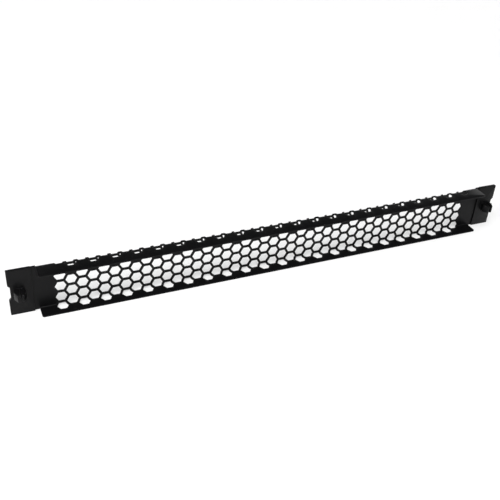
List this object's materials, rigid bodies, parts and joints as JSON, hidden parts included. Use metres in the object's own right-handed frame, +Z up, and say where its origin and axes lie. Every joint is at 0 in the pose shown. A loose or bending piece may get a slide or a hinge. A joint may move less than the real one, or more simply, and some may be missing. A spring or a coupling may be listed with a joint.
{
  "type": "rack blanking panel",
  "caption": "Long one-unit blanking panel for an equipment rack: folded steel sheet with a hexagon mesh face, two flanges and a snap-in moulded end cap at each end.",
  "frame": {"origin": "middle of the bounding box, at its bottom, where the panel stands on its lower flange", "axes": "+X along the panel, +Y out of the plain front face, -Y to the rear with the flanges and snap pegs, +Z up"},
  "size_m": [0.4826, 0.0174, 0.0437],
  "materials": {
    "coated_steel": "satin black powder coat",
    "moulded_plastic": "satin black moulded plastic"
  },
  "bodies": {
    "root": {"vented_panel": "coated_steel", "end_cap_left": "moulded_plastic", "end_cap_right": "moulded_plastic"}
  },
  "joints": []
}
